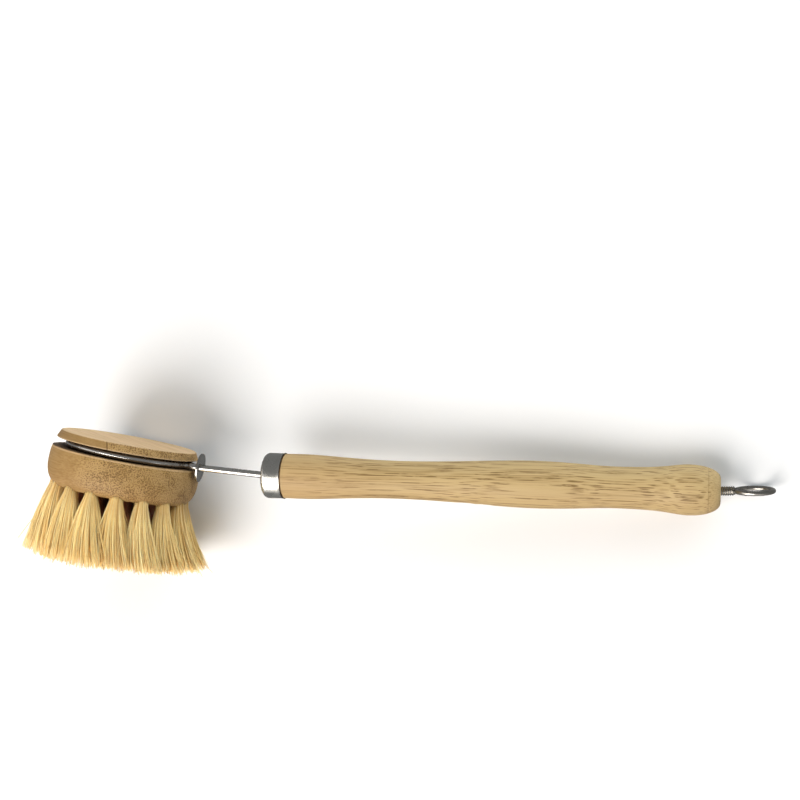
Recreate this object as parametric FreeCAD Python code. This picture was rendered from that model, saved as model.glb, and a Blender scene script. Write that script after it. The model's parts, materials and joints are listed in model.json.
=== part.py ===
import FreeCAD, Part
import math
import os

from FreeCAD import Matrix, Placement, Rotation, Vector

# Wooden dish brush with a replaceable round head, lying on its side on a table.
# Lengths are in millimetres and angles in degrees. The brush is drawn first in its own frame:
# X runs from the head to the tail with 0 at the ferrule's front face, Z points to the head's top.
# The last section lays it on the table, with the table at Z = 0.

# Fits between pieces that don't move on each other
FIT = 0.04

# Handle: runs along the axis from one turned station to the next, and the radius at each
FRONT_SWELL_RUN = 5.65
FRONT_WAIST_RUN = 30.7
BELLY_RUN = 42.0
REAR_WAIST_RUN = 25.0
KNOB_RUN = 21.0
TAIL_RUN = 9.0
COLLAR_R = 6.98
FRONT_SWELL_R = 7.02
FRONT_WAIST_R = 5.86
BELLY_R = 7.2
REAR_WAIST_R = 6.23
KNOB_R = 7.55
TAIL_FACE_R = 3.7
# How far each run stays level after its first station and before its second, as shares of the run
HANDLE_EASES = ((0.3, 0.3), (0.25, 0.45), (0.4, 0.3), (0.45, 0.3), (0.75, 0.25))
TAIL_EASE = 0.62

# Ferrule: drawn steel cap on the handle's front spigot
FERRULE_LENGTH = 6.3
FERRULE_R = 7.12
FERRULE_WALL = 0.45
FERRULE_ROUND = 1.5
FERRULE_LIP = 0.16
FERRULE_LIP_LENGTH = 0.7
FERRULE_MOUTH_PLAY = 0.6
COLLAR_GAP = 0.3

# Spring wire: two legs from the handle, a loop in the head's groove
WIRE_D = 1.9
LEG_SPACING = 3.0
LEG_LENGTH = 22.0
LEG_DEPTH = 22.0
LEG_RISE_ANGLE = 4.2
HEAD_RISE_ANGLE = 9.6
LEG_BEND_R = 12.0
NECK_CURVE_R = 1.8
# Room between the loop and the groove's floor, and how far the head lies in it from the loop's middle:
# pushed out by the plate, and dropped towards the table
LOOP_PLAY = 2.0
HEAD_PUSH = 1.3
HEAD_DROP = 1.0

# Lock plate: oval slider on the two legs, against the head at rest
PLATE_THICKNESS = 0.9
PLATE_WIDTH = 6.6
PLATE_HEIGHT = 9.2
PLATE_ROUND = 0.25
PLATE_GAP = 1.1
PLATE_HOLE_PLAY = 0.2

# Head block: radius of the crest, and how far each turned edge lies inside it
HEAD_R = 24.1
TOP_INSET = 2.45
RIM_INSET = 1.25
SHOULDER_INSET = 0.5
FACE_INSET = 2.9
GROOVE_DEPTH = 7.5
DISC_HEIGHT = 2.55
GROOVE_HEIGHT = 2.65
BODY_HEIGHT = 12.0
CREST_DROP = 5.0
EDGE_ROUND = 0.4
# How the body's outline bends: shares of the height and of the inset where its curves are drawn to
CREST_EASE = 0.3
BELOW_EASE = 0.5
FACE_EASE_DOWN = 0.8
FACE_EASE_IN = 0.35

# Tufts: bundles of fibre in drilled holes, in rings that flare out to the tips
TUFT_R = 2.3
TUFT_WALL = 3.1
RING_WALL = 2.2
# How far the outer holes break through the edge of the bristle face
EDGE_BREAK = 1.2
TUFT_DEPTH = 7.5
TUFT_FREE_LENGTH = 21.2
TIP_OVERHANG = 3.9
TIP_CORE_R = 3.2
TUFT_GAP = 0.3
# Shares of the flare that a tuft has reached half way to its tips, in width and in lean
TUFT_MID_WIDTH = 0.45
TUFT_MID_LEAN = 0.42
HOLE_FIT = 0.05
# Turn of the rings about the head's axis, from a gap on the side away from the table
RING_TURN = 9.8
RING_NAMES = ("outer", "middle", "inner")

# Tuft anchors: flat wire driven across the bottom of each hole
ANCHOR_THICKNESS = 0.45
ANCHOR_HEIGHT = 1.8
ANCHOR_SUNK = 0.6
ANCHOR_BITE = 0.5

# Screw eye: bent wire ring with its threaded shank in the tail
EYE_WIRE_D = 1.45
EYE_RING_R = 5.4
EYE_BEND_R = 1.8
EYE_SHANK = 2.7
EYE_END_GAP = 0.9
EYE_THREAD_D = 2.0
EYE_THREAD_DEPTH = 0.16
EYE_THREAD_PITCH = 0.75
EYE_THREAD_OUT = 1.7
EYE_DEPTH = 15.0
EYE_POINT = 3.0
# How the eye went in by hand: its turn about the shank, and its lean off the handle's axis
EYE_ROLL = 6.5
EYE_LEAN = 2.4

# Places that follow from the sizes above
wire_r = WIRE_D / 2
half_legs = LEG_SPACING / 2
collar_x = FERRULE_LENGTH + COLLAR_GAP
front_swell_x = collar_x + FRONT_SWELL_RUN
front_waist_x = front_swell_x + FRONT_WAIST_RUN
belly_x = front_waist_x + BELLY_RUN
rear_waist_x = belly_x + REAR_WAIST_RUN
knob_x = rear_waist_x + KNOB_RUN
tail_x = knob_x + TAIL_RUN
eye_bend_x = tail_x + EYE_SHANK
eye_ring_x = eye_bend_x + math.sqrt(EYE_RING_R ** 2 + 2 * EYE_RING_R * EYE_BEND_R)
eye_turn = Rotation(Vector(0, 1, 0), -EYE_LEAN) * Rotation(Vector(1, 0, 0), EYE_ROLL)
eye_place = Placement(Vector(0, 0, 0), eye_turn, Vector(tail_x, 0, 0))

loop_r = HEAD_R - GROOVE_DEPTH + LOOP_PLAY + wire_r
face_r = HEAD_R - FACE_INSET
groove_top = GROOVE_HEIGHT / 2
face_drop = groove_top + BODY_HEIGHT
crest_drop = groove_top + CREST_DROP
tip_r = HEAD_R + TIP_OVERHANG
tip_drop = face_drop + TUFT_FREE_LENGTH

leg_rise = math.radians(LEG_RISE_ANGLE)
head_rise = math.radians(HEAD_RISE_ANGLE)
leg_out = Vector(-math.cos(leg_rise), 0, math.sin(leg_rise))
head_out = Vector(-math.cos(head_rise), 0, math.sin(head_rise))
head_up = Vector(math.sin(head_rise), 0, math.cos(head_rise))
mouth = Vector(0, 0, 0)
neck = mouth + leg_out * LEG_LENGTH
plate_reach = HEAD_R + PLATE_GAP + PLATE_THICKNESS / 2
head_centre = neck + head_out * plate_reach + Vector(0, HEAD_DROP, 0)
loop_centre = neck + head_out * (plate_reach - HEAD_PUSH)
head_place = Placement(head_centre, Rotation(Vector(0, 1, 0), HEAD_RISE_ANGLE))


def rounded_path(points, radii):
    """Straight runs between the points, with a tangent arc of the given radius at each inner point."""
    edges = []
    start = points[0]
    for before, corner, after, radius in zip(points, points[1:], points[2:], radii):
        back = (before - corner).normalize()
        ahead = (after - corner).normalize()
        half_angle = back.getAngle(ahead) / 2
        reach = radius / math.tan(half_angle)
        inward = (back + ahead).normalize()
        dip = radius / math.sin(half_angle) - radius
        arc_start = corner + back * reach
        arc_end = corner + ahead * reach
        edges.append(Part.LineSegment(start, arc_start).toShape())
        edges.append(Part.Arc(arc_start, corner + inward * dip, arc_end).toShape())
        start = arc_end
    edges.append(Part.LineSegment(start, points[-1]).toShape())
    return edges


def swell(x0, r0, x1, r1, lead, trail):
    """Turned curve between two stations, level at both ends; lead and trail say how far it stays level."""
    run = x1 - x0
    curve = Part.BezierCurve()
    curve.setPoles([Vector(x0, 0, r0), Vector(x0 + lead * run, 0, r0), Vector(x1 - trail * run, 0, r1),
                    Vector(x1, 0, r1)])
    return curve.toShape()


def turned(edges, axis):
    """Solid of revolution from a closed outline that lies on one side of the axis."""
    face = Part.Face(Part.Wire(edges))
    return face.revolve(Vector(0, 0, 0), axis, 360)


def wire_along(edges, diameter):
    """Round wire swept along a path of lines and arcs."""
    path = Part.Wire(edges)
    first = edges[0]
    start = first.valueAt(first.FirstParameter)
    heading = first.tangentAt(first.FirstParameter)
    section = Part.Wire(Part.makeCircle(diameter / 2, start, heading))
    return path.makePipeShell([section], True, False)


def oval(half_x, half_y, lean=0, centre=Vector(0, 0, 0)):
    """Closed oval, drawn flat, then tipped by the lean about X and moved to its centre."""
    shape = Matrix()
    shape.scale(half_x, half_y, 1)
    shape.rotateX(-lean)
    shape.move(centre)
    return Part.Wire(Part.makeCircle(1).transformGeometry(shape).Edges)


def make_handle():
    """Turned handle with a spigot for the ferrule, two leg holes in front and a pilot hole behind."""
    spigot_r = FERRULE_R - FERRULE_WALL - FIT
    spigot_x = FERRULE_WALL + FIT
    spigot_chamfer = FERRULE_ROUND - FERRULE_WALL
    corners = [Vector(spigot_x, 0, 0), Vector(spigot_x, 0, spigot_r - spigot_chamfer),
               Vector(spigot_x + spigot_chamfer, 0, spigot_r), Vector(collar_x, 0, spigot_r),
               Vector(collar_x, 0, COLLAR_R)]
    edges = [Part.LineSegment(a, b).toShape() for a, b in zip(corners, corners[1:])]
    stations = [(collar_x, COLLAR_R), (front_swell_x, FRONT_SWELL_R), (front_waist_x, FRONT_WAIST_R),
                (belly_x, BELLY_R), (rear_waist_x, REAR_WAIST_R), (knob_x, KNOB_R)]
    for first, second, ease in zip(stations, stations[1:], HANDLE_EASES):
        edges.append(swell(*first, *second, *ease))
    tail = Part.BezierCurve()
    tail.setPoles([Vector(knob_x, 0, KNOB_R), Vector(knob_x + TAIL_EASE * TAIL_RUN, 0, KNOB_R),
                   Vector(tail_x, 0, (KNOB_R + TAIL_FACE_R) / 2), Vector(tail_x, 0, TAIL_FACE_R)])
    edges.append(tail.toShape())
    edges.append(Part.LineSegment(Vector(tail_x, 0, TAIL_FACE_R), Vector(tail_x, 0, 0)).toShape())
    edges.append(Part.LineSegment(Vector(tail_x, 0, 0), corners[0]).toShape())
    handle = turned(edges, Vector(1, 0, 0))
    holes = [Part.makeCylinder(wire_r + FIT, LEG_DEPTH + FIT, Vector(0, side * half_legs, 0), Vector(1, 0, 0))
             for side in (-1, 1)]
    pilot = Part.makeCylinder(EYE_THREAD_D / 2 + FIT, EYE_DEPTH + EYE_THREAD_D + FIT,
                              Vector(tail_x + EYE_THREAD_D, 0, 0), Vector(-1, 0, 0))
    pilot.Placement = eye_place * pilot.Placement
    return handle.cut(holes + [pilot])


def make_ferrule():
    """Cap with a rounded front, a mouth that clears both legs and a slight lip at the back."""
    mouth_r = half_legs + wire_r + FERRULE_MOUTH_PLAY
    inner_r = FERRULE_R - FERRULE_WALL
    inner_round = FERRULE_ROUND - FERRULE_WALL
    lip_start = FERRULE_LENGTH - FERRULE_LIP_LENGTH
    lip_r = FERRULE_R + FERRULE_LIP
    outer = rounded_path([Vector(0, 0, mouth_r), Vector(0, 0, FERRULE_R), Vector(lip_start, 0, FERRULE_R)],
                         [FERRULE_ROUND])
    lip = [Part.LineSegment(Vector(lip_start, 0, FERRULE_R), Vector(FERRULE_LENGTH, 0, lip_r)).toShape(),
           Part.LineSegment(Vector(FERRULE_LENGTH, 0, lip_r), Vector(FERRULE_LENGTH, 0, inner_r)).toShape()]
    inner = rounded_path([Vector(FERRULE_LENGTH, 0, inner_r), Vector(FERRULE_WALL, 0, inner_r),
                          Vector(FERRULE_WALL, 0, mouth_r)], [inner_round])
    close = [Part.LineSegment(Vector(FERRULE_WALL, 0, mouth_r), Vector(0, 0, mouth_r)).toShape()]
    return turned(outer + lip + inner + close, Vector(1, 0, 0))


def loop_point(along, across):
    """Point of the loop's plane: along from the loop's middle towards the neck, across to the side."""
    return loop_centre - head_out * along + Vector(0, across, 0)


def make_wire_loop():
    """One wire: up one leg, out at the neck, round the groove and back down the other leg."""
    curve_across = half_legs + NECK_CURVE_R
    curve_along = math.sqrt((loop_r + NECK_CURVE_R) ** 2 - curve_across ** 2)
    seat = loop_r / (loop_r + NECK_CURVE_R)
    seat_angle = math.atan2(curve_across, curve_along)
    turn_middle = (math.pi / 2 + seat_angle) / 2
    halves = []
    for side in (-1, 1):
        shift = Vector(0, side * half_legs, 0)
        leg_end = loop_point(curve_along, side * half_legs)
        leg = rounded_path([Vector(LEG_DEPTH, 0, 0) + shift, mouth + shift, neck + shift, leg_end],
                           [LEG_BEND_R, LEG_BEND_R])
        middle = loop_point(curve_along - NECK_CURVE_R * math.cos(turn_middle),
                            side * (curve_across - NECK_CURVE_R * math.sin(turn_middle)))
        on_loop = loop_point(curve_along * seat, side * curve_across * seat)
        halves.append((leg, Part.Arc(leg_end, middle, on_loop).toShape(), on_loop))
    (leg_a, turn_a, start), (leg_b, turn_b, end) = halves
    around = Part.Arc(start, loop_point(-loop_r, 0), end).toShape()
    path = leg_a + [turn_a, around, turn_b] + leg_b[::-1]
    return wire_along(path, WIRE_D)


def make_lock_plate():
    """Oval plate with a hole for each leg, square to the loop's plane."""
    outline = oval(PLATE_WIDTH / 2, PLATE_HEIGHT / 2)
    plate = Part.Face(outline).extrude(Vector(0, 0, PLATE_THICKNESS))
    rims = [edge for edge in plate.Edges if not edge.isSeam(plate.Faces[0])]
    plate = plate.makeFillet(PLATE_ROUND, rims)
    holes = [Part.makeCylinder(wire_r + PLATE_HOLE_PLAY, PLATE_THICKNESS, Vector(side * half_legs, 0, 0))
             for side in (-1, 1)]
    plate = plate.cut(holes)
    upright = Rotation(Vector(0, 1, 0), Vector(0, 0, 1), Vector(1, 0, 0), "ZXY")
    plate.Placement = Placement(neck + head_out * (PLATE_THICKNESS / 2), head_place.Rotation * upright)
    return plate


def tuft_rings():
    """Each ring's name, radius on the bristle face, radius and half depth at the tips, and count."""
    radii = []
    radius = face_r + EDGE_BREAK - TUFT_R
    while radius > TUFT_R + TUFT_WALL and len(radii) < len(RING_NAMES):
        radii.append(radius)
        radius -= 2 * TUFT_R + RING_WALL
    band = (tip_r - TIP_CORE_R) / len(radii)
    rings = []
    for index, root_r in enumerate(radii):
        count = int(2 * math.pi * root_r / (2 * TUFT_R + TUFT_WALL))
        ring_tip_r = tip_r - band * (index + 0.5)
        rings.append((RING_NAMES[index], root_r, ring_tip_r, band / 2 - TUFT_GAP / 2, count))
    return rings


def tuft_place(root_r, turn):
    """Frame of one tuft: X along the ring, Y away from the head's axis, Z towards the tips."""
    hanging = Placement(Vector(root_r, 0, 0), Rotation(Vector(1, 1, 0), 180))
    return Placement(Vector(0, 0, -face_drop), Rotation(Vector(0, 0, 1), turn)) * hanging


def make_tuft(spread, half_across, half_out, lean, anchor):
    """Round bundle in its hole that opens into an oval brush end, folded over its anchor."""
    axis = Vector(0, math.sin(lean), math.cos(lean))
    rise = TUFT_R * math.tan(lean) + HOLE_FIT
    root = Part.makeCylinder(TUFT_R, TUFT_DEPTH + rise, axis * -TUFT_DEPTH, axis)
    middle = axis * (TUFT_FREE_LENGTH / 2 / math.cos(lean))
    sections = [oval(TUFT_R, TUFT_R, lean, axis * rise),
                oval(TUFT_R + TUFT_MID_WIDTH * (half_across - TUFT_R),
                     TUFT_R + TUFT_MID_WIDTH * (half_out - TUFT_R), lean / 2, middle),
                oval(half_across, half_out, 0, Vector(0, spread, TUFT_FREE_LENGTH))]
    flare = Part.makeLoft(sections, True, False)
    return root.fuse(flare).removeSplitter().cut(anchor)


def make_anchor(lean):
    """Flat wire across the bottom of the hole, sunk a little into the wood."""
    length = 2 * (TUFT_R + ANCHOR_BITE)
    strip = Part.makeBox(length, ANCHOR_THICKNESS, ANCHOR_HEIGHT,
                         Vector(-length / 2, -ANCHOR_THICKNESS / 2, -TUFT_DEPTH - ANCHOR_SUNK))
    strip.rotate(Vector(0, 0, 0), Vector(1, 0, 0), -math.degrees(lean))
    return strip


def make_tufts():
    """Every tuft by name, with the anchors and the holes that the block needs for them."""
    tufts = {}
    anchors = []
    holes = []
    for name, root_r, ring_tip_r, half_out, count in tuft_rings():
        half_turn = math.pi / count
        spread = ring_tip_r - root_r
        lean = math.atan2(TUFT_MID_LEAN * spread, TUFT_FREE_LENGTH / 2)
        room = ring_tip_r * math.sin(half_turn) - TUFT_GAP / 2
        half_across = math.sqrt(room ** 2 - (half_out * math.sin(half_turn)) ** 2) / math.cos(half_turn)
        axis = Vector(0, math.sin(lean), math.cos(lean))
        anchor = make_anchor(lean)
        tuft = make_tuft(spread, half_across, half_out, lean, anchor)
        hole = Part.makeCylinder(TUFT_R + HOLE_FIT, 2 * TUFT_DEPTH, axis * -TUFT_DEPTH, axis)
        for number in range(count):
            place = tuft_place(root_r, -90 + RING_TURN + math.degrees(half_turn) * (2 * number + 1))
            tufts["tuft_%s_%02d" % (name, number + 1)] = tuft.copy()
            tufts["tuft_%s_%02d" % (name, number + 1)].Placement = head_place * place
            for tool, store in ((anchor, anchors), (hole, holes)):
                copy = tool.copy()
                copy.Placement = head_place * place * copy.Placement
                store.append(copy)
    return tufts, anchors, holes


def make_head_block(anchors, holes):
    """Turned block: top disc, groove for the wire, rounded body, and a drilled hole for each tuft."""
    top = groove_top + DISC_HEIGHT
    floor_r = HEAD_R - GROOVE_DEPTH
    shoulder_r = HEAD_R - SHOULDER_INSET
    disc = rounded_path([Vector(0, 0, top), Vector(HEAD_R - TOP_INSET, 0, top),
                         Vector(HEAD_R - RIM_INSET, 0, groove_top), Vector(floor_r, 0, groove_top)],
                        [EDGE_ROUND, EDGE_ROUND / 2])
    groove = rounded_path([Vector(floor_r, 0, groove_top), Vector(floor_r, 0, -groove_top),
                           Vector(shoulder_r, 0, -groove_top)], [EDGE_ROUND / 2])
    upper = Part.BezierCurve()
    upper.setPoles([Vector(shoulder_r, 0, -groove_top),
                    Vector(HEAD_R, 0, -groove_top - CREST_EASE * CREST_DROP), Vector(HEAD_R, 0, -crest_drop)])
    below = face_drop - crest_drop
    lower = Part.BezierCurve()
    lower.setPoles([Vector(HEAD_R, 0, -crest_drop), Vector(HEAD_R, 0, -crest_drop - BELOW_EASE * below),
                    Vector(HEAD_R - FACE_EASE_IN * FACE_INSET, 0, -crest_drop - FACE_EASE_DOWN * below),
                    Vector(face_r, 0, -face_drop)])
    close = [Part.LineSegment(Vector(face_r, 0, -face_drop), Vector(0, 0, -face_drop)).toShape(),
             Part.LineSegment(Vector(0, 0, -face_drop), Vector(0, 0, top)).toShape()]
    block = turned(disc + groove + [upper.toShape(), lower.toShape()] + close, Vector(0, 0, 1))
    block.Placement = head_place
    return block.cut(holes + anchors)


def make_eye_shank():
    """Pointed shank with a thread of round ridges, which ends a little way out of the tail."""
    ridge_r = EYE_THREAD_D / 2
    root_r = ridge_r - EYE_THREAD_DEPTH
    point_x = tail_x - EYE_DEPTH
    thread_run = EYE_DEPTH - EYE_POINT + EYE_THREAD_OUT
    turns = round(thread_run / EYE_THREAD_PITCH)
    pitch = thread_run / turns
    corners = [Vector(point_x, 0, 0), Vector(point_x + EYE_POINT, 0, root_r)]
    for turn in range(turns):
        ridge_x = corners[-1].x + pitch / 2
        corners += [Vector(ridge_x, 0, ridge_r), Vector(ridge_x + pitch / 2, 0, root_r)]
    corners += [Vector(corners[-1].x, 0, 0), corners[0]]
    return turned([Part.LineSegment(a, b).toShape() for a, b in zip(corners, corners[1:])], Vector(1, 0, 0))


def make_screw_eye():
    """Wire from the shank, bent out and round into a ring that ends just short of the bend."""
    bend_angle = math.atan2(EYE_BEND_R, eye_ring_x - eye_bend_x)
    open_angle = 2 * math.asin((EYE_WIRE_D + EYE_END_GAP) / 2 / EYE_RING_R) - bend_angle

    def on_ring(angle):
        return Vector(eye_ring_x - EYE_RING_R * math.cos(angle), EYE_RING_R * math.sin(angle), 0)

    bend_middle = (math.pi / 2 - bend_angle) / 2
    bend_mid = Vector(eye_bend_x + EYE_BEND_R * math.sin(bend_middle),
                      EYE_BEND_R * (math.cos(bend_middle) - 1), 0)
    shank_end = Vector(eye_bend_x, 0, 0)
    path = [Part.LineSegment(Vector(tail_x, 0, 0), shank_end).toShape(),
            Part.Arc(shank_end, bend_mid, on_ring(-bend_angle)).toShape(),
            Part.Arc(on_ring(-bend_angle), on_ring(math.pi), on_ring(open_angle)).toShape()]
    eye = wire_along(path, EYE_WIRE_D).fuse(make_eye_shank()).removeSplitter()
    eye.Placement = eye_place
    return eye


def table_normal():
    """Direction up from the table that the crest, the flared tips and the eye's ring all touch."""
    rests = [(head_centre - head_up * crest_drop, head_up, HEAD_R),
             (head_centre - head_up * tip_drop, head_up, tip_r),
             (eye_place * Vector(eye_ring_x, 0, 0), eye_turn.multVec(Vector(0, 0, 1)),
              EYE_RING_R + EYE_WIRE_D / 2)]
    up = Vector(0, -1, 0)
    settling_steps = 8
    for _ in range(settling_steps):
        touching = []
        for centre, axis, radius in rests:
            across = (up - axis * up.dot(axis)).normalize()
            touching.append(centre - across * radius)
        up = (touching[1] - touching[0]).cross(touching[2] - touching[0]).normalize()
        up = up * (1 if up.y < 0 else -1)
    return up


def lay_on_table(nodes):
    """Turn the brush onto its side, then put the middle of its footprint at the origin."""
    up = table_normal()
    along = (Vector(1, 0, 0) - up * up.x).normalize()
    turn = Placement(Vector(0, 0, 0), Rotation(along, up.cross(along), up, "ZXY")).inverse()
    for shape in nodes.values():
        shape.Placement = turn * shape.Placement
    box = Part.makeCompound(list(nodes.values())).optimalBoundingBox(False)
    shift = Placement(Vector(-box.Center.x, -box.Center.y, -box.ZMin), Rotation())
    for shape in nodes.values():
        shape.Placement = shift * shape.Placement
    return shift * turn


tufts, anchors, holes = make_tufts()
nodes = {
    "handle": make_handle(),
    "ferrule": make_ferrule(),
    "wire_loop": make_wire_loop(),
    "lock_plate": make_lock_plate(),
    "head_block": make_head_block(anchors, holes),
    "tuft_anchors": Part.makeCompound(anchors),
    "screw_eye": make_screw_eye(),
}
nodes.update(tufts)
laid = lay_on_table(nodes)

os.makedirs("parts", exist_ok=True)
for name, shape in nodes.items():
    shape.exportStep("parts/%s.step" % name)
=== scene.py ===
import json
import math

import bpy
import numpy as np
from mathutils import Matrix, Vector


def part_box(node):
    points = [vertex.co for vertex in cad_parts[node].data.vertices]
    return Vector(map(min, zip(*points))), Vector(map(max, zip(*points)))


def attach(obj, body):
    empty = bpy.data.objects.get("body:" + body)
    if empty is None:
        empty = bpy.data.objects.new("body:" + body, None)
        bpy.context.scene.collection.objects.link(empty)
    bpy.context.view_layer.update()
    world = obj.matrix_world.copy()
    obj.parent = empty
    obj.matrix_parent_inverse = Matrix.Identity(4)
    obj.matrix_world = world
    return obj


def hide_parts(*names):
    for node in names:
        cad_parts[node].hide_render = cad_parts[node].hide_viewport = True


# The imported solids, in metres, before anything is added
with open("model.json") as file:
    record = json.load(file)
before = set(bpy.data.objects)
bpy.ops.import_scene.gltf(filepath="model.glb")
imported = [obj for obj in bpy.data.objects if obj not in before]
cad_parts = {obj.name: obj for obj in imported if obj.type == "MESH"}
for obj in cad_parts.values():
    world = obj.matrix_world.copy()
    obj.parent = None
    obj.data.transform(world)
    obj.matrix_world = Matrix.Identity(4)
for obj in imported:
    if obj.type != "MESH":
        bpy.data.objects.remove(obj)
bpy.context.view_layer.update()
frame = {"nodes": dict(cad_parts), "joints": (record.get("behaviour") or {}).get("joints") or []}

# Handle
# A stick of bamboo turned on a lathe, with two waists, a belly and a knob, oiled and left matt.
# Its dark veins run straight along it, so the turning cuts them long on the waists and short on the swells.
# A brown line of glue shows round it behind the ferrule, and a mark of the turning tool near the tail.
HANDLE_PALE = (0.535, 0.382, 0.180, 1)
HANDLE_DEEP = (0.420, 0.282, 0.118, 1)
HANDLE_VEIN = (0.185, 0.106, 0.036, 1)
HANDLE_VEIN_PITCH = 0.00052
HANDLE_VEIN_SIZE = 0.33
HANDLE_DASH = 0.0042
HANDLE_FAINTEST = 0.25
HANDLE_RELIEF = 0.25
END_VEINS = 0.3
HANDLE_WARM = (0.450, 0.285, 0.125, 1)
WARM_END = 0.045
WARM_SHARE = 0.6
TOOL_MARK_FROM_TAIL = 0.0036
TOOL_MARK_WIDTH = 0.00025
TOOL_MARK_SHARE = 0.35
GLUE_BROWN = (0.075, 0.033, 0.011, 1)
GLUE_WIDTH = 0.00048
GLUE_SHARE = 0.9

# What the handle's bamboo and the head's have in common: veins, streaks and shine
GRAIN_DRIFT = (70, 70, 14)
GRAIN_SWAY = 0.0018
VEIN_SCATTER = 0.9
VEIN_PATCHES = (260, 260, 22)
PATCH_RANGE = (0.36, 0.64)
THIN_VEIN = 0.70
THICK_VEIN = 1.25
VEIN_CORE = 0.65
VEIN_EDGE = 1.15
VEIN_HALO = 1.9
VEIN_SHARE = 0.95
HALO_SHARE = 0.55
WEAK_VEINS = 0.6
BREAKS_ACROSS = 1100
BREAK_RANGE = (0.38, 0.54)
FINE_ACROSS = 2200
DASHES_IN_STREAK = 4
BROAD_STREAKS = (260, 260, 12)
FINE_SHARE = 0.66
BROAD_SHARE = 0.50
STREAK_RANGE = (0.36, 0.80)
BAMBOO_ROUGH = 0.42
BAMBOO_ROUGH_PLAY = 0.24
VEIN_DIP = 0.8
BAMBOO_BUMP = 0.00012
BAMBOO_GLOSS = 0.3


def new_finish(name):
    """An empty surface finish: its material, its node tree and its shader."""
    finish = bpy.data.materials.new(name)
    finish.use_nodes = True
    tree = finish.node_tree
    return finish, tree, tree.nodes["Principled BSDF"]


def add(tree, kind, inputs=None, **settings):
    """One shader node with its settings, and its inputs given as plain values or as sockets to join."""
    node = tree.nodes.new(kind)
    for key, value in settings.items():
        setattr(node, key, value)
    for key, value in (inputs or {}).items():
        socket = node.inputs[key]
        if isinstance(value, bpy.types.NodeSocket):
            tree.links.new(value, socket)
        else:
            socket.default_value = value
    return node


def reckon(tree, operation, *values):
    """The result of one sum on sockets or numbers."""
    return add(tree, "ShaderNodeMath", dict(enumerate(values)), operation=operation).outputs[0]


def reckon_vector(tree, operation, *values):
    """The results of one sum on vectors: a vector comes first, and a plain number under Value."""
    return add(tree, "ShaderNodeVectorMath", dict(enumerate(values)), operation=operation).outputs


def ease(tree, value, start, end, low=0.0, high=1.0):
    """The value carried from start..end to low..high with soft ends."""
    inputs = {"Value": value, "From Min": start, "From Max": end, "To Min": low, "To Max": high}
    return add(tree, "ShaderNodeMapRange", inputs, interpolation_type="SMOOTHSTEP").outputs[0]


def distance_from(tree, value, place):
    """How far the value lies from the place, on either side."""
    return reckon(tree, "ABSOLUTE", reckon(tree, "SUBTRACT", value, place))


def tint(tree, share, under, over):
    """The under colour taken towards the over colour by the share."""
    return add(tree, "ShaderNodeMix", {0: share, 6: under, 7: over}, data_type="RGBA").outputs[2]


def grain_noise(tree, place, stretch, detail=2.0):
    """Smooth noise in a space scaled by three factors, which draw it out along the grain."""
    stretched = add(tree, "ShaderNodeMapping", {"Vector": place, "Scale": stretch}).outputs[0]
    return add(tree, "ShaderNodeTexNoise", {"Vector": stretched, "Scale": 1.0, "Detail": detail}).outputs


def grain_space(tree, middle, turn):
    """Object space moved to the middle of the piece and turned, with the fibres along its Z."""
    place = add(tree, "ShaderNodeTexCoord").outputs["Object"]
    inputs = {"Vector": place, "Location": middle, "Rotation": turn.to_euler()}
    return add(tree, "ShaderNodeMapping", inputs, vector_type="TEXTURE").outputs[0]


def turn_to(along, across):
    """The turn that takes Z to along and X as near as it can to across."""
    z = along.normalized()
    x = (across - across.project(z)).normalized()
    return Matrix((x, z.cross(x), z)).transposed()


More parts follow.
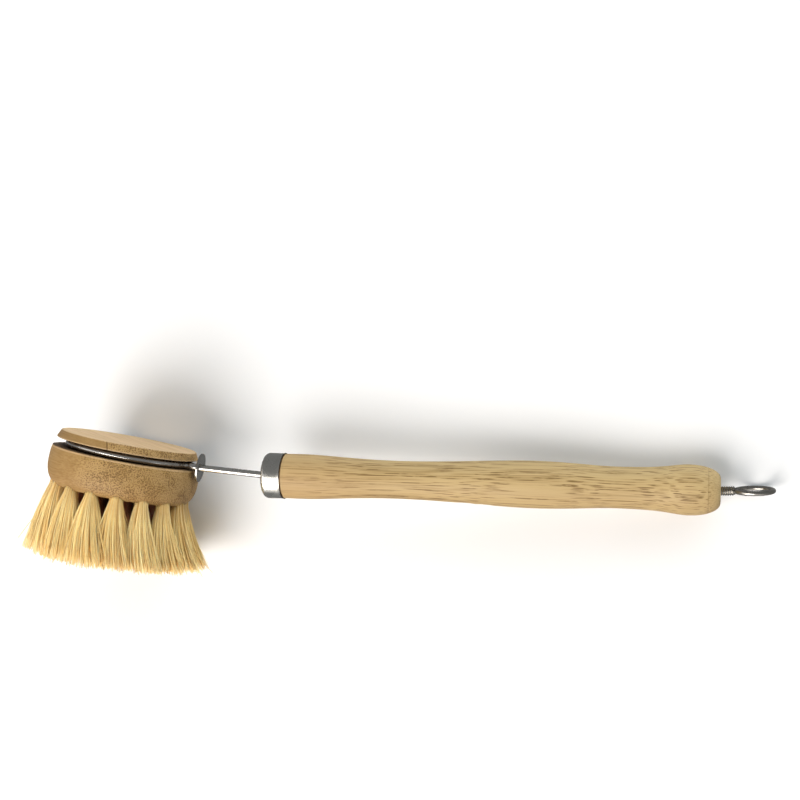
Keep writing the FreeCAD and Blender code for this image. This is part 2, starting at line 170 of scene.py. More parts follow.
def bamboo(tree, shader, grain, pale, deep, vein, pitch, size, dash, faint, shows, relief):
    """Bamboo cut through: pale ground streaked along the grain, and dark veins as rods along its Z.

    The rods are cells of a plane pattern carried along the grain, each dark within a share of its cell.
    They break up into dashes, the weakest as faint as given, and fade out where shows falls to nought.
    """
    drift = grain_noise(tree, grain, GRAIN_DRIFT)["Color"]
    drift = reckon_vector(tree, "SUBTRACT", drift, (0.5, 0.5, 0.5))[0]
    sway = reckon_vector(tree, "MULTIPLY", drift, (GRAIN_SWAY, GRAIN_SWAY, GRAIN_SWAY))[0]
    swayed = reckon_vector(tree, "ADD", grain, sway)[0]
    inputs = {"Vector": swayed, "Scale": 1 / pitch, "Randomness": VEIN_SCATTER}
    rods = add(tree, "ShaderNodeTexVoronoi", inputs, voronoi_dimensions="2D").outputs
    lone = add(tree, "ShaderNodeSeparateColor", {0: rods["Color"]}).outputs[0]
    patch = grain_noise(tree, grain, VEIN_PATCHES, detail=1.0)[0]
    reach = ease(tree, patch, *PATCH_RANGE, THIN_VEIN * size, THICK_VEIN * size)
    near = reckon(tree, "DIVIDE", rods["Distance"], reach)
    broken = grain_noise(tree, grain, (BREAKS_ACROSS, BREAKS_ACROSS, 1 / dash))[0]
    rod = ease(tree, near, VEIN_EDGE, VEIN_CORE)
    rod = reckon(tree, "MULTIPLY", rod, ease(tree, lone, 0.0, WEAK_VEINS, faint, 1.0))
    rod = reckon(tree, "MULTIPLY", rod, ease(tree, broken, *BREAK_RANGE, faint, 1.0))
    rod = reckon(tree, "MULTIPLY", rod, shows)
    halo = reckon(tree, "MULTIPLY", ease(tree, near, VEIN_EDGE, VEIN_HALO), shows)
    along_fine = 1 / (DASHES_IN_STREAK * dash)
    fine = grain_noise(tree, swayed, (FINE_ACROSS, FINE_ACROSS, along_fine), detail=4.0)[0]
    broad = grain_noise(tree, swayed, BROAD_STREAKS)[0]
    streak = reckon(tree, "MULTIPLY_ADD", fine, FINE_SHARE, reckon(tree, "MULTIPLY", broad, BROAD_SHARE))
    ground = tint(tree, ease(tree, streak, *STREAK_RANGE), pale, deep)
    ground = tint(tree, reckon(tree, "MULTIPLY", halo, HALO_SHARE), ground, pale)
    rough = reckon(tree, "MULTIPLY_ADD", fine, BAMBOO_ROUGH_PLAY, BAMBOO_ROUGH)
    tree.links.new(rough, shader.inputs["Roughness"])
    height = reckon(tree, "MULTIPLY_ADD", rod, -VEIN_DIP, fine)
    raised = add(tree, "ShaderNodeBump", {"Height": height, "Strength": relief, "Distance": BAMBOO_BUMP})
    tree.links.new(raised.outputs[0], shader.inputs["Normal"])
    shader.inputs["Specular IOR Level"].default_value = BAMBOO_GLOSS
    return tint(tree, reckon(tree, "MULTIPLY", rod, VEIN_SHARE), ground, vein)


def dress(node, finish):
    """Gives a solid of the frame its surface finish."""
    mesh = frame["nodes"][node].data
    mesh.materials.clear()
    mesh.materials.append(finish)


def corners_of(node):
    """The corners of a solid's mesh, one row each."""
    mesh = frame["nodes"][node].data
    corners = np.empty(3 * len(mesh.vertices))
    mesh.vertices.foreach_get("co", corners)
    return corners.reshape(-1, 3)


def node_centre(node):
    """The middle of a solid's box."""
    low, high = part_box(node)
    return (low + high) / 2


handle_front = node_centre("ferrule")
handle_axis = (node_centre("screw_eye") - handle_front).normalized()
straight_up = Vector((0, 0, 1))
handle_turn = turn_to(handle_axis, straight_up)


def back_end(node):
    """How far back along the handle's axis a solid reaches, from the middle of the ferrule."""
    return float(((corners_of(node) - np.array(handle_front)) @ np.array(handle_axis)).max())


tail = back_end("handle")
lip = back_end("ferrule")
tool_mark = tail - TOOL_MARK_FROM_TAIL
handle_finish, tree, shader = new_finish("oiled_handle_bamboo")
handle_grain = grain_space(tree, handle_front, handle_turn)
along = add(tree, "ShaderNodeSeparateXYZ", {0: handle_grain}).outputs[2]
before_end = ease(tree, along, tool_mark, tool_mark + TOOL_MARK_FROM_TAIL / 2, 1.0, END_VEINS)
wood = bamboo(tree, shader, handle_grain, HANDLE_PALE, HANDLE_DEEP, HANDLE_VEIN,
              pitch=HANDLE_VEIN_PITCH, size=HANDLE_VEIN_SIZE, dash=HANDLE_DASH,
              faint=HANDLE_FAINTEST, shows=before_end, relief=HANDLE_RELIEF)
wood = tint(tree, ease(tree, along, WARM_END, 0.0, 0.0, WARM_SHARE), wood, HANDLE_WARM)
off_mark = distance_from(tree, along, tool_mark)
wood = tint(tree, ease(tree, off_mark, TOOL_MARK_WIDTH, 0.0, 0.0, TOOL_MARK_SHARE), wood, HANDLE_VEIN)
glue = ease(tree, along, lip + GLUE_WIDTH, lip + GLUE_WIDTH / 2, 0.0, GLUE_SHARE)
tree.links.new(tint(tree, glue, wood, GLUE_BROWN), shader.inputs["Base Color"])
dress("handle", handle_finish)

# Ferrule
# A thin cap pressed from stainless sheet and glued over the front of the handle.
# It is polished all over, with the slight clouding that handling leaves.
FERRULE_STEEL = (0.60, 0.595, 0.56, 1)

# What all the steels have in common: the scale of their clouds and grit, and how dull a cloud is
STEEL_CLOUDS = 225.0
STEEL_GRIT = 1800.0
GRIT_SHARE = 0.3
WORN_RANGE = (0.35, 0.70)
DULL_RANGE = (0.40, 0.75)
DULL_SHARE = 0.86
STEEL_BUMP = 0.0001


def steel(name, colour, polish, scuff, ripple):
    """Polished steel: roughness drifts from polish to polish + scuff, over a faint ripple in the surface."""
    finish, tree, shader = new_finish(name)
    place = add(tree, "ShaderNodeTexCoord").outputs["Object"]
    inputs = {"Vector": place, "Scale": STEEL_CLOUDS, "Detail": 3.0}
    cloud = add(tree, "ShaderNodeTexNoise", inputs).outputs[0]
    inputs = {"Vector": place, "Scale": STEEL_GRIT, "Detail": 2.0}
    grit = add(tree, "ShaderNodeTexNoise", inputs).outputs[0]
    wear_and_highlight = ease(tree, cloud, *WORN_RANGE, polish, polish + scuff)
    tree.links.new(wear_and_highlight, shader.inputs["Roughness"])
    dull = tuple(DULL_SHARE * part for part in colour[:3]) + (1,)
    clouded = tint(tree, ease(tree, cloud, *DULL_RANGE), colour, dull)
    tree.links.new(clouded, shader.inputs["Base Color"])
    height = reckon(tree, "MULTIPLY_ADD", grit, GRIT_SHARE, cloud)
    raised = add(tree, "ShaderNodeBump", {"Height": height, "Strength": ripple, "Distance": STEEL_BUMP})
    tree.links.new(raised.outputs[0], shader.inputs["Normal"])
    shader.inputs["Metallic"].default_value = 1.0
    return finish


dress("ferrule", steel("pressed_ferrule_steel", FERRULE_STEEL, polish=0.22, scuff=0.14, ripple=0.08))

# Wire loop and lock plate
# One bright spring wire, bent double, with both legs sunk in the handle and the loop in the head's groove.
# The oval plate is stamped from sheet and slides along both legs to hold the loop shut.
WIRE_STEEL = (0.66, 0.65, 0.62, 1)
PLATE_STEEL = (0.48, 0.475, 0.45, 1)

dress("wire_loop", steel("bright_wire_steel", WIRE_STEEL, polish=0.20, scuff=0.12, ripple=0.05))
dress("lock_plate", steel("stamped_plate_steel", PLATE_STEEL, polish=0.12, scuff=0.14, ripple=0.08))

# Head block
# A block glued up from strips of bamboo and turned: a thin disc on top, the wire's groove, a rounded body.
# The strips point at the viewer's side, so their veins are cut across in front and lie along the top.
# A glue line crosses the disc. The groove is painted dark as painted shade, and its two edges pale as a
# painted highlight.
HEAD_PALE = (0.425, 0.262, 0.097, 1)
HEAD_DEEP = (0.300, 0.168, 0.051, 1)
HEAD_VEIN = (0.135, 0.070, 0.023, 1)
HEAD_VEIN_PITCH = 0.00052
HEAD_VEIN_SIZE = 0.37
HEAD_DASH = 0.0030
HEAD_FAINTEST = 0.55
HEAD_RELIEF = 0.35
STRIP_TURN = math.radians(-41)
SIDE_ON = 0.32
END_ON = 0.76
SIDE_VEINS = 0.10
TOP_PALE = (0.690, 0.480, 0.275, 1)
TOP_DEEP = (0.530, 0.350, 0.180, 1)
TOP_STARTS = 0.35
TOP_FULL = 0.95
HEAD_LONG = (0.255, 0.142, 0.047, 1)
LONG_STARTS = 0.6
LONG_SHARE = 0.5
LONG_TINT = 0.55
STRIP_EDGE = 0.0146
STRIP_SHARE = 0.95
GLUE_LINE = 0.00024
GLUE_LINE_ON_TOP = 0.12
GLUE_LINE_ON_SIDE = 0.9
GLUE_TURNS = (0.9, 0.4)
# Painted shade: the groove's walls are coloured dark brown, where the groove lies in shade.
GROOVE_SHADE = (0.085, 0.047, 0.022, 1)
GROOVE_HALF = 0.001325
GROOVE_SHADE_SPILL = 0.00008
GROOVE_SHADE_SHARE = 0.92
# Painted highlight: the width and strength of a pale band along both edges of the groove.
EDGE_HIGHLIGHT = 0.0005
EDGE_HIGHLIGHT_SHARE = 0.4

spin = next(joint for joint in frame["joints"] if joint["name"] == "head_spin")
head_centre = Vector(spin["pos_m"])
head_up = Vector(spin["axis"]).normalized()
to_plate = node_centre("lock_plate") - head_centre
to_plate = (to_plate - to_plate.project(head_up)).normalized()
strips_along = Matrix.Rotation(STRIP_TURN, 3, head_up) @ to_plate
head_finish, tree, shader = new_finish("turned_head_bamboo")
head_grain = grain_space(tree, head_centre, turn_to(strips_along, head_up))
level, sideways = add(tree, "ShaderNodeSeparateXYZ", {0: head_grain}).outputs[:2]
facing = add(tree, "ShaderNodeTexCoord").outputs["Normal"]
across = reckon_vector(tree, "DOT_PRODUCT", facing, strips_along)["Value"]
end_on = ease(tree, reckon(tree, "ABSOLUTE", across), SIDE_ON, END_ON, SIDE_VEINS, 1.0)
upward = reckon_vector(tree, "DOT_PRODUCT", facing, head_up)["Value"]
on_top = ease(tree, upward, TOP_STARTS, TOP_FULL)
in_disc = ease(tree, level, 0.0, GROOVE_HALF)
past_edge = ease(tree, sideways, STRIP_EDGE - GLUE_LINE, STRIP_EDGE, 0.0, STRIP_SHARE)
side_strip = reckon(tree, "MULTIPLY", in_disc, past_edge)
veins_show = reckon(tree, "MULTIPLY", end_on, reckon(tree, "SUBTRACT", 1.0, side_strip))
head_pale = tint(tree, on_top, HEAD_PALE, TOP_PALE)
head_deep = tint(tree, on_top, HEAD_DEEP, TOP_DEEP)
wood = bamboo(tree, shader, head_grain, head_pale, head_deep, HEAD_VEIN,
              pitch=HEAD_VEIN_PITCH, size=HEAD_VEIN_SIZE, dash=HEAD_DASH,
              faint=HEAD_FAINTEST, shows=veins_show, relief=HEAD_RELIEF)
side_on = ease(tree, end_on, LONG_STARTS, SIDE_VEINS, 0.0, LONG_SHARE)
off_top = ease(tree, on_top, LONG_STARTS, 0.0, 0.0, LONG_TINT)
lengthwise = reckon(tree, "MULTIPLY", reckon(tree, "MAXIMUM", side_strip, side_on), off_top)
wood = tint(tree, lengthwise, wood, HEAD_LONG)
# Painted highlight: both edges of the groove taken towards the top's pale colour.
for edge in (GROOVE_HALF, -GROOVE_HALF - EDGE_HIGHLIGHT):
    wear_and_highlight = reckon(tree, "MULTIPLY", ease(tree, level, edge - EDGE_HIGHLIGHT / 4, edge, 0.0, EDGE_HIGHLIGHT_SHARE),
                  ease(tree, level, edge + EDGE_HIGHLIGHT, edge + EDGE_HIGHLIGHT / 2))
    wood = tint(tree, wear_and_highlight, wood, TOP_PALE)
off_edge = distance_from(tree, sideways, STRIP_EDGE)
glue = reckon(tree, "MULTIPLY", ease(tree, off_edge, GLUE_LINE, GLUE_LINE / 3), in_disc)
glue_shows = ease(tree, upward, *GLUE_TURNS, GLUE_LINE_ON_TOP, GLUE_LINE_ON_SIDE)
wood = tint(tree, reckon(tree, "MULTIPLY", glue, glue_shows), wood, HEAD_VEIN)
# Painted shade: the colour inside the groove, and a hair past its edges, taken to dark brown.
off_groove = reckon(tree, "ABSOLUTE", level)
groove_shade_mask = ease(tree, off_groove, GROOVE_HALF + GROOVE_SHADE_SPILL, GROOVE_HALF, 0.0, GROOVE_SHADE_SHARE)
tree.links.new(tint(tree, groove_shade_mask, wood, GROOVE_SHADE), shader.inputs["Base Color"])
dress("head_block", head_finish)

# Tufts
# Bundles of straw-coloured plant fibre, folded into drilled holes in three rings and trimmed nearly level.
# Each bundle fans out as it leaves its hole, so the tips of the bundles run together.
# Use has set them a little towards the plate, and the lowest lie flat on the table.
FIBRES_PER_TUFT = 400
FIBRE_R = 0.00014
FIBRE_R_PLAY = 0.25
FIBRE_TAPER = 0.75
FIBRE_SIDES = 4
FREE_STEPS = 6
FIRST_SEED = 100
DISC_NUDGE = 0.35
ROOT_SQUEEZE = 0.86
LOCKS_PER_TUFT = 22
LOCK_PULL = 0.45
RAGGED_TIPS = 0.045
LONG_TIPS = 0.015
STRAY_SHARE = 0.10
FAN_EARLY = 0.35
TIP_SPREAD = 1.28
SPREAD_PLAY = 0.08
LEAN_LATE = 0.32
LEAN_PLAY = 0.0008
FIBRE_SWAY = 0.0009
STRAY_SWAY = 0.0028
SWAY_POWER = 1.5
BRISTLE_SET = 0.0030
BRISTLE_SLANT = 0.055
TIP_BAND = 0.001
BASE_BAND = 0.0015
BELOW_FACE = 0.0016
ABOVE_FACE = 0.0001
HIDDEN_REACH = -0.4
FIBRE_PALE = (1.000, 0.870, 0.470, 1)
FIBRE_STRAW = (1.000, 0.755, 0.300, 1)
FIBRE_BROWN = (0.600, 0.340, 0.095, 1)
# Painted shade: the red-brown given to the shaded roots of the inner tufts.
FIBRE_ROOT_SHADE = (0.640, 0.250, 0.110, 1)
STRAW_SHADES = (0.3, 1.0)
BROWN_SHADES = (0.20, 0.0)
BROWN_SHARE = 0.9
MOTTLE_SCALE = 700.0
MOTTLE_RANGE = (0.45, 0.80)
MOTTLE_SHARE = 0.15
# Painted shade: fibres coloured browner near their holes, where the tufts shade each other.
HOLE_SHADE_RANGE = (0.2, -0.1)
HOLE_SHADE_SHARE = 0.3
# Painted shade: how far from the hole the inner tufts' roots are coloured red-brown.
ROOT_SHADE_RANGE = (0.50, 0.10)
ROOT_SHADE_SHARE = 0.9
ROUGH_RANGE = (0.3, 0.7)
FIBRE_SLEEK = 0.32
FIBRE_ROUGH = 0.50
FIBRE_RELIEF = 0.15
FIBRE_BUMP = 0.00005
FIBRE_GLOSS = 0.8

to_side = head_up.cross(to_plate)
head_axes = np.array((to_plate, to_side, head_up))


def in_head(node):
    """The node's corners in the head's own frame: towards the plate, sideways, up its axis."""
    return (corners_of(node) - np.array(head_centre)) @ head_axes.T


def band_middle(corners, low, high):
    """Middle and half size of the corners whose height lies in the band."""
    inside = corners[(corners[:, 2] > low) & (corners[:, 2] < high)]
    return (inside.max(0) + inside.min(0)) / 2, (inside.max(0) - inside.min(0)) / 2


def even_disc(count, chance):
    """Points spread evenly over a unit disc on the golden spiral, each nudged a little."""
    step = np.arange(count)
    radius = np.sqrt((step + 0.5) / count)
    angle = step * math.pi * (3 - math.sqrt(5))
    spread = np.stack((radius * np.cos(angle), radius * np.sin(angle)), 1)
    return spread + chance.normal(0, DISC_NUDGE / math.sqrt(count), spread.shape)


def fibre_lines(base, root, tip, half_root, half_tip, chance):
    """Centre lines of a tuft's fibres: straight up the hole, then fanning out to the tips.

    A fibre keeps its place in the bundle, a point of the unit disc, while the disc grows from the hole's
    circle to the tip oval. Fibres drift towards the lock they lie in, and sway by a smooth random amount.
    """
    place = even_disc(FIBRES_PER_TUFT, chance)
    locks = even_disc(LOCKS_PER_TUFT, chance)
    gap = np.linalg.norm(place[:, None] - locks[None], axis=2)
    lock = locks[gap.argmin(1)]
    end = 1.0 + chance.normal(0, LONG_TIPS, FIBRES_PER_TUFT)
    end -= np.abs(chance.normal(0, RAGGED_TIPS, FIBRES_PER_TUFT))
    share = np.linspace(0, 1, FREE_STEPS)[None] * end[:, None]
    pull = LOCK_PULL * share ** 2
    where = place[:, None] * (1 - pull[..., None]) + lock[:, None] * pull[..., None]
    wide = share * (1 + FAN_EARLY - FAN_EARLY * share)
    spread = TIP_SPREAD * chance.normal(1, SPREAD_PLAY)
    size = half_root + (half_tip * spread - half_root) * wide[..., None]
    lean = share * (1 - LEAN_LATE + LEAN_LATE * share)
    aim = tip[:2] + chance.normal(0, LEAN_PLAY, 2)
    spine = root[:2] + (aim - root[:2]) * lean[..., None]
    amount = chance.normal(0, FIBRE_SWAY, FIBRES_PER_TUFT)
    stray = chance.random(FIBRES_PER_TUFT) < STRAY_SHARE
    amount = np.where(stray, chance.normal(0, STRAY_SWAY, FIBRES_PER_TUFT), amount)
    side = chance.uniform(0, 2 * math.pi, FIBRES_PER_TUFT)
    sway = np.stack((np.cos(side), np.sin(side)), 1) * amount[:, None]
    flat = spine + where * size + sway[:, None] * (share ** SWAY_POWER)[..., None]
    height = root[2] + (tip[2] - root[2]) * share
    free = np.concatenate((flat, height[..., None]), 2)
    bottom = np.concatenate((base[:2] + place * half_root, np.full((FIBRES_PER_TUFT, 1), base[2])), 1)
    return np.concatenate((bottom[:, None], free), 1)


def settled(lines, face, tips):
    """The lines as use has set them: bent to the plate by the square of the reach, and trimmed aslant."""
    reach = np.clip((face - lines[..., 2]) / (face - tips), 0, 1)
    bent = lines.copy()
    bent[..., 0] += BRISTLE_SET * reach ** 2
    bent[..., 2] += BRISTLE_SLANT * lines[..., 0] * reach
    return bent


def on_table(lines):
    """The lines with every point that lies under the table raised straight up onto it."""
    up = head_axes[:, 2]
    height = lines @ up + head_centre[2]
    return lines + np.maximum(FIBRE_R - height, 0)[..., None] * up


def fibre_tubes(lines, radius):
    """Each line swept by a small polygon: a ring of corners at every point, walls between, capped ends."""
    count, steps = lines.shape[:2]
    angle = np.arange(FIBRE_SIDES) * 2 * math.pi / FIBRE_SIDES
    ring = np.stack((np.cos(angle), np.sin(angle), np.zeros(FIBRE_SIDES)), 1)
    taper = np.linspace(1, FIBRE_TAPER, steps)
    reach = radius[:, None] * taper[None]
    corners = lines[:, :, None] + ring[None, None] * reach[..., None, None]
    index = np.arange(count * steps * FIBRE_SIDES).reshape(count, steps, FIBRE_SIDES)
    around = np.roll(index, -1, axis=2)
    walls = np.stack((index[:, 1:], around[:, 1:], around[:, :-1], index[:, :-1]), -1).reshape(-1, 4)
    ends = np.concatenate((index[:, 0], index[:, -1, ::-1]))
    return corners.reshape(-1, 3), walls, ends


def new_piece(name, corners, faces, finish):
    """A shown piece with its place in its mesh, smooth, in one finish."""
    mesh = bpy.data.meshes.new(name)
    mesh.from_pydata(corners.tolist(), [], faces)
    mesh.polygons.foreach_set("use_smooth", np.ones(len(mesh.polygons), bool))
    mesh.materials.append(finish)
    mesh.update()
    piece = bpy.data.objects.new(name, mesh)
    bpy.context.scene.collection.objects.link(piece)
    return piece


def own_value(tree, name):
    """A number that the mesh carries at each corner, under its name."""
    return add(tree, "ShaderNodeAttribute", attribute_name=name).outputs["Fac"]


def fibre_finish():
    """Dry plant fibre: each one its own shade of straw, matt with a soft sheen, and browner near the hole as
    painted shade.

    The inner tufts, which their meshes mark as deep, get painted shade: a red-brown towards their roots.
    """
    finish, tree, shader = new_finish("dry_plant_fibre")
    shade = own_value(tree, "shade")
    reach = own_value(tree, "reach")
    deep = own_value(tree, "deep")
    place = add(tree, "ShaderNodeTexCoord").outputs["Object"]
    inputs = {"Vector": place, "Scale": MOTTLE_SCALE, "Detail": 2.0}
    mottle = add(tree, "ShaderNodeTexNoise", inputs).outputs[0]
    straw = tint(tree, ease(tree, shade, *STRAW_SHADES), FIBRE_STRAW, FIBRE_PALE)
    straw = tint(tree, ease(tree, shade, *BROWN_SHADES, 0.0, BROWN_SHARE), straw, FIBRE_BROWN)
    straw = tint(tree, ease(tree, mottle, *MOTTLE_RANGE, 0.0, MOTTLE_SHARE), straw, FIBRE_BROWN)
    # Painted shade: browner near the hole.
    straw = tint(tree, ease(tree, reach, *HOLE_SHADE_RANGE, 0.0, HOLE_SHADE_SHARE), straw, FIBRE_BROWN)
    # Painted shade: the inner tufts red-brown towards their roots.
    root_shade = ease(tree, reach, *ROOT_SHADE_RANGE, 0.0, ROOT_SHADE_SHARE)
    straw = tint(tree, reckon(tree, "MULTIPLY", deep, root_shade), straw, FIBRE_ROOT_SHADE)
    tree.links.new(straw, shader.inputs["Base Color"])
    rough = ease(tree, mottle, *ROUGH_RANGE, FIBRE_SLEEK, FIBRE_ROUGH)
    tree.links.new(rough, shader.inputs["Roughness"])
    shader.inputs["Diffuse Roughness"].default_value = 1.0
    inputs = {"Height": mottle, "Strength": FIBRE_RELIEF, "Distance": FIBRE_BUMP}
    tree.links.new(add(tree, "ShaderNodeBump", inputs).outputs[0], shader.inputs["Normal"])
    shader.inputs["Specular IOR Level"].default_value = FIBRE_GLOSS
    return finish


straw_finish = fibre_finish()
face_height = in_head("head_block")[:, 2].min()
tuft_nodes = sorted(node for node in frame["nodes"] if node.startswith("tuft_") and node != "tuft_anchors")
for number, node in enumerate(tuft_nodes):
    chance = np.random.default_rng(FIRST_SEED + number)
    corners = in_head(node)
    lowest = corners[:, 2].min()
    highest = corners[:, 2].max()
    tip, _ = band_middle(corners, -math.inf, lowest + TIP_BAND)
    out = tip[:2] / np.linalg.norm(tip[:2])
    own = np.array(((-out[1], out[0], 0), (out[0], out[1], 0), (0, 0, 1)))
    corners = corners @ own.T
    tip, half_tip = band_middle(corners, -math.inf, lowest + TIP_BAND)
    root, half_root = band_middle(corners, face_height - BELOW_FACE, face_height + ABOVE_FACE)
    base, _ = band_middle(corners, highest - BASE_BAND, math.inf)
    tip[2] = lowest
    lines = fibre_lines(base, root, tip, half_root[0] * ROOT_SQUEEZE, half_tip[:2], chance)
    radius = FIBRE_R * chance.uniform(1 - FIBRE_R_PLAY, 1 + FIBRE_R_PLAY, FIBRES_PER_TUFT)
    lines = on_table(settled(lines @ own, root[2], lowest))
    tube, walls, ends = fibre_tubes(lines, radius)
    tube = tube @ head_axes + np.array(head_centre)
    piece = new_piece(node + "_fibres", tube, walls.tolist() + ends.tolist(), straw_finish)
    steps = lines.shape[1]
    shade = np.repeat(chance.random(FIBRES_PER_TUFT), steps * FIBRE_SIDES)
    reach = np.tile(np.repeat(np.linspace(HIDDEN_REACH, 1, steps), FIBRE_SIDES), FIBRES_PER_TUFT)
    deep = np.full(len(shade), 0.0 if node.startswith("tuft_outer") else 1.0)
    for key, values in (("shade", shade), ("reach", reach), ("deep", deep)):
        carried = piece.data.attributes.new(key, "FLOAT", "POINT")
        carried.data.foreach_set("value", values.astype(np.float32))
    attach(piece, "head")
    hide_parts(node)

# Tuft anchors
# Short bits of flat wire driven across the bottom of each hole, which pin the folded bundle down.
# They are hidden in the wood once the tufts are in.
ANCHOR_STEEL = (0.50, 0.49, 0.46, 1)

dress("tuft_anchors", steel("flat_anchor_steel", ANCHOR_STEEL, polish=0.30, scuff=0.15, ripple=0.10))

# Screw eye
# A ring bent from round wire, with its shank screwed into the tail of the handle, for hanging the brush up.
# It is plain steel, duller and darker than the spring wire, and its shank has a coarse rolled thread.
EYE_STEEL = (0.40, 0.385, 0.35, 1)
THREAD_R = 0.00140
THREAD_RISE = 0.00020
THREAD_PITCH = 0.00066
THREAD_SUNK = 0.0015
THREAD_OUT = 0.0042
SHOULDER = 0.0007
NECK_R = 0.0007
THREAD_SIDES = 36
THREAD_STEPS = 115
SHANK_DEEP = 0.010
SHANK_NEAR = 0.002
SHANK_SHOWN = 0.0015

handle_axes = np.array(handle_turn)


def thread_surface(start, axes):
    """A shank along the third axis whose radius waves once per pitch, and the wave climbs with the turn.

    So the ridge is a helix. The outer end rounds down to the neck by a quarter ellipse, and both ends
    are capped.
    """
    turn = np.arange(THREAD_SIDES) * 2 * math.pi / THREAD_SIDES
    run = np.linspace(-THREAD_SUNK, THREAD_OUT, THREAD_STEPS)
    wave = np.cos(2 * math.pi * run[:, None] / THREAD_PITCH - turn[None])
    radius = THREAD_R - THREAD_RISE * (1 - wave) / 2
    fall = np.clip((run - THREAD_OUT + SHOULDER) / SHOULDER, 0, 1)
    radius = NECK_R + (radius - NECK_R) * np.sqrt(1 - fall ** 2)[:, None]
    height = np.broadcast_to(run[:, None], radius.shape)
    corners = np.stack((radius * np.cos(turn), radius * np.sin(turn), height), -1) @ axes.T + start
    index = np.arange(radius.size).reshape(radius.shape)
    around = np.roll(index, -1, axis=1)
    walls = np.stack((index[:-1], around[:-1], around[1:], index[1:]), -1).reshape(-1, 4)
    return corners.reshape(-1, 3), walls.tolist() + [index[0, ::-1].tolist(), index[-1].tolist()]


def shank_middle(low, high):
    """Middle of the screw eye's corners that lie between two distances along the handle."""
    corners = (corners_of("screw_eye") - np.array(handle_front)) @ handle_axes
    middle, _ = band_middle(corners, low, high)
    return handle_axes @ middle + np.array(handle_front)


eye_finish = steel("dull_eye_steel", EYE_STEEL, polish=0.18, scuff=0.14, ripple=0.10)
dress("screw_eye", eye_finish)
shank_root = shank_middle(tail - SHANK_DEEP, tail - SHANK_NEAR)
shank_tail = shank_middle(tail - SHANK_NEAR, tail + SHANK_SHOWN)
shank_along = Vector(shank_tail - shank_root).normalized()
short_of_tail = tail - float((shank_tail - np.array(handle_front)) @ np.array(handle_axis))
shank_start = shank_tail + short_of_tail * np.array(shank_along)
shank_axes = np.array(turn_to(shank_along, straight_up))
thread_corners, thread_faces = thread_surface(shank_start, shank_axes)
thread = new_piece("screw_eye_thread", thread_corners, thread_faces, eye_finish)
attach(thread, "handle")

# Stage
# A plain white table top, a soft lamp on the near side, a broad one opposite and two cards for the steel.
# Far from the brush the table glows as the backdrop does, so that hardly an edge shows between them.
# The camera stands where the photograph was taken from.
FLOOR_SPAN = 6.0
FLOOR_WHITE = (0.90, 0.90, 0.90, 1)
FLOOR_ROUGH = 0.6
FLOOR_GLOSS = 0.1
GLOW_WHITE = (1, 1, 1, 1)
GLOW_STARTS = 0.30
GLOW_FULL = 0.75
KEY_PLACE = (-0.37, -0.56, 0.88)
KEY_SIZE = (1.05, 1.05)
KEY_POWER = 18.8
KEY_COLOUR = (1.0, 0.955, 0.91)
FAR_PLACE = (0.50, 1.25, 0.60)
FAR_SIZE = (2.6, 1.0)
FAR_POWER = 28.0
FAR_COLOUR = (0.87, 0.95, 1.0)
CARD_SIZE = (5.4, 0.6)
CARD_POWER = 14.3
LOW_CARD_PLACE = (0.15, -0.90, 0.30)
LOW_CARD_SIZE = (3.0, 0.35)
LOW_CARD_POWER = 2.2
ROOM_GLOW = 0.07
GLOSS_GLOW = 0.22
BACKDROP_GLOW = 0.98
CAMERA_PLACE = (0.13230, 0.07594, 0.41935)
CAMERA_TURN = (-5.544, 17.472, 0.096)
CAMERA_LENS = 62.1
CAMERA_SENSOR = 36.0

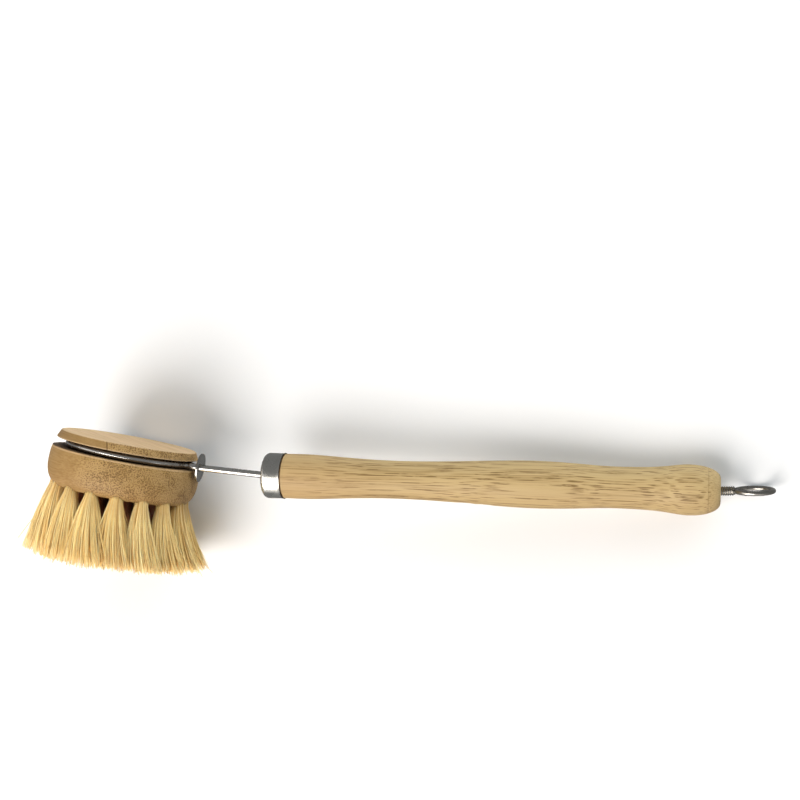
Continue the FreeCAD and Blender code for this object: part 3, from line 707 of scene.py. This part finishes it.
half = FLOOR_SPAN / 2
floor_corners = np.array(((-half, -half, 0), (half, -half, 0), (half, half, 0), (-half, half, 0)))
floor_finish, tree, shader = new_finish("white_table_top")
shader.inputs["Base Color"].default_value = FLOOR_WHITE
shader.inputs["Roughness"].default_value = FLOOR_ROUGH
shader.inputs["Specular IOR Level"].default_value = FLOOR_GLOSS
place = add(tree, "ShaderNodeTexCoord").outputs["Object"]
away = reckon_vector(tree, "LENGTH", place)["Value"]
table_glow = ease(tree, away, GLOW_STARTS, GLOW_FULL, 0.0, BACKDROP_GLOW)
tree.links.new(table_glow, shader.inputs["Emission Strength"])
shader.inputs["Emission Color"].default_value = GLOW_WHITE
floor = new_piece("table_top", floor_corners, [[0, 1, 2, 3]], floor_finish)
floor.visible_glossy = False


def soft_lamp(name, place, size, power, colour):
    """A flat rectangular lamp that stands at the place and faces the brush."""
    lamp = bpy.data.lights.new(name, "AREA")
    lamp.shape = "RECTANGLE"
    lamp.size, lamp.size_y = size
    lamp.energy = power
    lamp.color = colour
    stand = bpy.data.objects.new(name, lamp)
    stand.location = place
    stand.rotation_euler = stand.location.to_track_quat("Z", "Y").to_euler()
    bpy.context.scene.collection.objects.link(stand)
    return stand


soft_lamp("near_lamp", KEY_PLACE, KEY_SIZE, KEY_POWER, KEY_COLOUR)
far_lamp = soft_lamp("far_lamp", FAR_PLACE, FAR_SIZE, FAR_POWER, FAR_COLOUR)
far_lamp.visible_glossy = False
card = soft_lamp("steel_card", KEY_PLACE, CARD_SIZE, CARD_POWER, KEY_COLOUR)
card.visible_diffuse = False
low_card = soft_lamp("low_steel_card", LOW_CARD_PLACE, LOW_CARD_SIZE, LOW_CARD_POWER, KEY_COLOUR)
low_card.visible_diffuse = False

room = bpy.data.worlds.new("pale_room")
room.use_nodes = True
tree = room.node_tree
ray = add(tree, "ShaderNodeLightPath").outputs
glow = ease(tree, ray["Is Glossy Ray"], 0.0, 1.0, ROOM_GLOW, GLOSS_GLOW)
glow = ease(tree, ray["Is Camera Ray"], 0.0, 1.0, glow, BACKDROP_GLOW)
tree.links.new(glow, tree.nodes["Background"].inputs["Strength"])
tree.nodes["Background"].inputs["Color"].default_value = GLOW_WHITE
scene = bpy.context.scene
scene.world = room
scene.view_settings.view_transform = "Standard"

camera_data = bpy.data.cameras.new("photo_camera")
camera_data.lens = CAMERA_LENS
camera_data.sensor_width = CAMERA_SENSOR
camera = bpy.data.objects.new("photo_camera", camera_data)
camera.location = CAMERA_PLACE
camera.rotation_euler = [math.radians(turn) for turn in CAMERA_TURN]
scene.collection.objects.link(camera)
scene.camera = camera

# Bring the scene up to date
bpy.context.view_layer.update()
